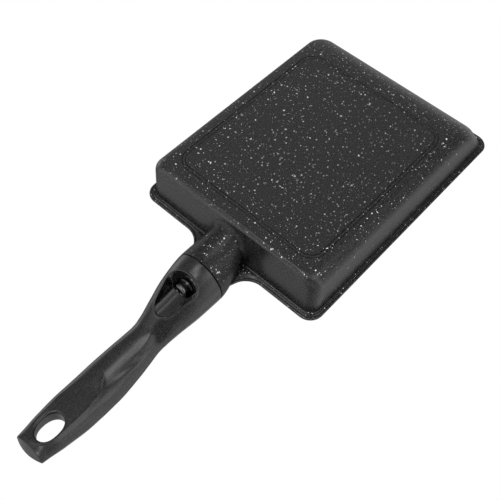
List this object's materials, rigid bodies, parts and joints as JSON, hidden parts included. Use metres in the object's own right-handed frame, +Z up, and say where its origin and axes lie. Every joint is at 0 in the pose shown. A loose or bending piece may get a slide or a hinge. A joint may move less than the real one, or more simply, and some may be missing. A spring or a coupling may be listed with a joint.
{
  "type": "rolled omelette pan",
  "caption": "Rectangular rolled-omelette pan: a deep speckled non-stick tray with a rounded far wall, and a curved moulded handle with a hanging hole.",
  "frame": {"origin": "middle of the flat underside that stands on the hob", "axes": "+Z up, out of the cooking side; +X from the tray towards the end of the handle; +Y across the tray"},
  "size_m": [0.3739, 0.15, 0.066],
  "materials": {
    "pan_body": "black satin non-stick coating with pale speckles on cast aluminium",
    "handle": "black moulded phenolic resin, satin",
    "handle_screw": "bright plated steel",
    "spring_washer": "bright plated steel",
    "plain_washer": "bright plated steel"
  },
  "bodies": {
    "root": {"pan_body": "pan_body", "handle": "handle", "handle_screw": "handle_screw", "spring_washer": "spring_washer", "plain_washer": "plain_washer"}
  },
  "joints": []
}
